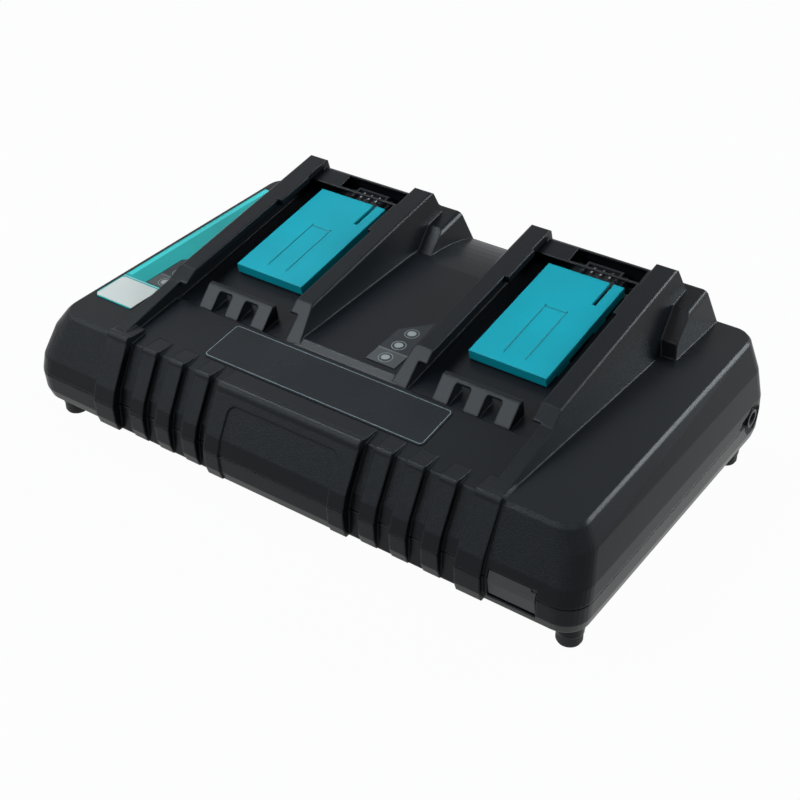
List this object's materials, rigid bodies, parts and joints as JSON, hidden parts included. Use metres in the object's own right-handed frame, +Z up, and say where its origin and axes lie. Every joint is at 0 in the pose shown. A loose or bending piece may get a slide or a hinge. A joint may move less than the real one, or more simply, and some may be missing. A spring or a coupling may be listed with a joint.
{
  "type": "power tool battery charger",
  "caption": "Dual port bench charger for slide-on power tool batteries, with sprung terminal covers, cooling fans and a USB outlet.",
  "frame": {"origin": "centre of the footprint, on the surface that the feet stand on", "axes": "+X to the right along the front, +Y to the back (the way a battery slides on), +Z up"},
  "size_m": [0.282, 0.17, 0.0852],
  "materials": {
    "shell": "satin black moulded plastic, finely grained on the front and the ends",
    "cover_teal": "satin teal moulded plastic",
    "inner_plastic": "plain dark moulded plastic",
    "fan_plastic": "smooth dark plastic",
    "contacts": "bright stamped sheet",
    "spring_steel": "drawn wire",
    "screw_steel": "zinc plated",
    "circuit_board": "green solder mask",
    "ferrite": "dark ferrite core with a taped winding",
    "heat_sink": "extruded",
    "capacitor_sleeve": "shrunk sleeve",
    "winding": "enamelled wire",
    "light_pipe": "milky clear plastic",
    "dark_foil": "printed foil, satin",
    "slate_foil": "smooth foil with a thin pale border",
    "teal_foil": "smooth printed foil",
    "rubber": "matt black",
    "foot_rubber": "matt black"
  },
  "bodies": {
    "housing": {"top_housing": "shell", "bottom_housing": "shell", "cover_spring_left": "spring_steel", "cover_spring_right": "spring_steel", "terminal_block_left": "inner_plastic", "terminal_block_right": "inner_plastic", "terminal_blades_left": "contacts", "terminal_blades_right": "contacts", "air_duct_left": "inner_plastic", "air_duct_right": "inner_plastic", "fan_frame_left": "inner_plastic", "fan_frame_right": "inner_plastic", "circuit_board": "circuit_board", "transformer": "ferrite", "heat_sinks": "heat_sink", "capacitors": "capacitor_sleeve", "filter_choke": "winding", "indicator_board_left": "circuit_board", "indicator_board_right": "circuit_board", "indicator_windows_left": "light_pipe", "indicator_windows_right": "light_pipe", "indicator_label_left": "dark_foil", "indicator_label_right": "dark_foil", "nameplate": "slate_foil", "side_label": "teal_foil", "usb_socket": "screw_steel", "cord_inlet": "rubber", "buzzer": "inner_plastic", "foot_front_left": "foot_rubber", "foot_front_right": "foot_rubber", "foot_rear_left": "foot_rubber", "foot_rear_right": "foot_rubber", "case_screws": "screw_steel", "board_screws": "screw_steel", "fan_screws": "screw_steel"},
    "terminal_cover_left_body": {"terminal_cover_left": "cover_teal"},
    "terminal_cover_right_body": {"terminal_cover_right": "cover_teal"},
    "fan_rotor_left_body": {"fan_rotor_left": "fan_plastic"},
    "fan_rotor_right_body": {"fan_rotor_right": "fan_plastic"},
    "usb_cover_body": {"usb_cover": "rubber"}
  },
  "joints": [
    {"name": "cover_slide_left", "type": "slide", "parent": "housing", "child": "terminal_cover_left_body", "axis": [0, 0.9833, 0.1822], "range_m": [0, 0.014], "stiffness_N_per_m": 120, "springref_m": -0.01, "deforming": ["cover_spring_left"]},
    {"name": "cover_slide_right", "type": "slide", "parent": "housing", "child": "terminal_cover_right_body", "axis": [0, 0.9833, 0.1822], "range_m": [0, 0.014], "stiffness_N_per_m": 120, "springref_m": -0.01, "deforming": ["cover_spring_right"]},
    {"name": "fan_spin_left", "type": "hinge", "parent": "housing", "child": "fan_rotor_left_body", "pos_m": [-0.0625, 0.03599, 0.025], "axis": [0, 0, 1], "continuous": true},
    {"name": "fan_spin_right", "type": "hinge", "parent": "housing", "child": "fan_rotor_right_body", "pos_m": [0.0625, 0.03599, 0.025], "axis": [0, 0, 1], "continuous": true},
    {"name": "usb_cover_hinge", "type": "hinge", "parent": "housing", "child": "usb_cover_body", "pos_m": [0.113, -0.0807, 0.0182], "axis": [1, 0, 0], "range_deg": [0, 90]}
  ]
}
